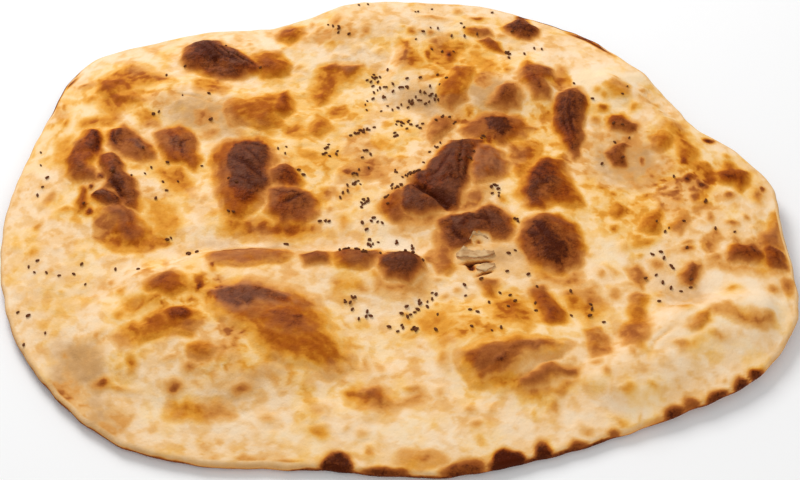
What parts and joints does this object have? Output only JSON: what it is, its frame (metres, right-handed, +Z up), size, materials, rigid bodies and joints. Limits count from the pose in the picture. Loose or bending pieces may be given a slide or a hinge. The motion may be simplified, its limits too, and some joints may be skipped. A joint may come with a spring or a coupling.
{
  "type": "yemeni flatbread",
  "caption": "Large thin oval flatbread baked on a clay oven wall, with broad puffs, dark blisters, a curled rim and nigella seeds on top.",
  "frame": {"origin": "middle of the bread's box on the table it lies on", "axes": "+Z up out of the table, +X along the bread's length, -Y towards the rim that is nearest in the picture"},
  "size_m": [0.3972, 0.3354, 0.0201],
  "materials": {
    "crust": "dry baked crust, cream to golden, with brown and near-black blisters",
    "seeds": "matt black nigella seeds"
  },
  "bodies": {
    "root": {"bread": "crust"}
  },
  "joints": []
}
